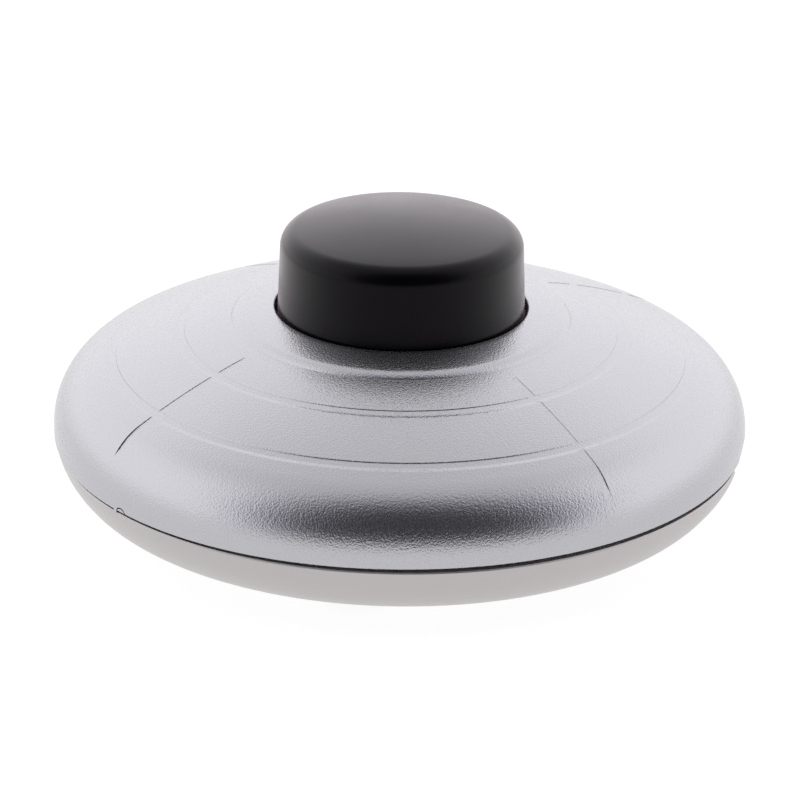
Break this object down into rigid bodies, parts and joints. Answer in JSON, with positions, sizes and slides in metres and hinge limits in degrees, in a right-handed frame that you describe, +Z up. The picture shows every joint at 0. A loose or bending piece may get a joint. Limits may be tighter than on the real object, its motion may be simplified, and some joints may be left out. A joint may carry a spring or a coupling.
{
  "type": "lamp foot switch",
  "caption": "Round in-line foot switch for a floor lamp: domed silver cover with ring and radial grooves, dark push button on top, shallow dish base with side cord inlets and rubber feet.",
  "frame": {"origin": "centre of the footprint, on the floor that the feet stand on", "axes": "+Z up, the button's press is along -Z, X along the cord from inlet to inlet, -Y toward the front"},
  "size_m": [0.072, 0.072, 0.0309],
  "materials": {
    "dome_paint": "satin metallic silver paint over a fine moulded grain",
    "base_plastic": "satin light grey",
    "button_plastic": "satin black",
    "rotor_plastic": "natural white, smooth",
    "carrier_plastic": "white insulating moulding",
    "clamp_plastic": "white moulding",
    "brass": "bright stamped strip",
    "steel": "zinc-plated",
    "rubber": "black, matt"
  },
  "bodies": {
    "housing": {"upper_housing": "dome_paint", "base_housing": "base_plastic", "return_spring": "steel", "contact_carrier": "carrier_plastic", "pivot_pin": "steel", "live_in_contact": "brass", "live_out_contact": "brass", "neutral_link": "brass", "cord_clamp_left": "clamp_plastic", "cord_clamp_right": "clamp_plastic", "terminal_screws": "steel", "carrier_screws": "steel", "cord_clamp_screws": "steel", "housing_screws": "steel", "foot_front_left": "rubber", "foot_front_right": "rubber", "foot_rear_left": "rubber", "foot_rear_right": "rubber"},
    "button": {"push_button": "button_plastic"},
    "rotor": {"ratchet_rotor": "rotor_plastic", "contact_bridge": "brass"}
  },
  "joints": [
    {"name": "button_press", "type": "slide", "parent": "housing", "child": "button", "axis": [0, 0, -1], "range_m": [0, 0.004], "stiffness_N_per_m": 1500, "springref_m": -0.003, "deforming": ["return_spring"]},
    {"name": "rotor_step", "type": "hinge", "parent": "housing", "child": "rotor", "pos_m": [0, 0, 0.0052], "axis": [0, 0, 1], "range_deg": [0, 40]}
  ],
  "couplings": [
    {"joint": "rotor_step", "follows": "button_press", "rad_per_m": 174.53}
  ]
}
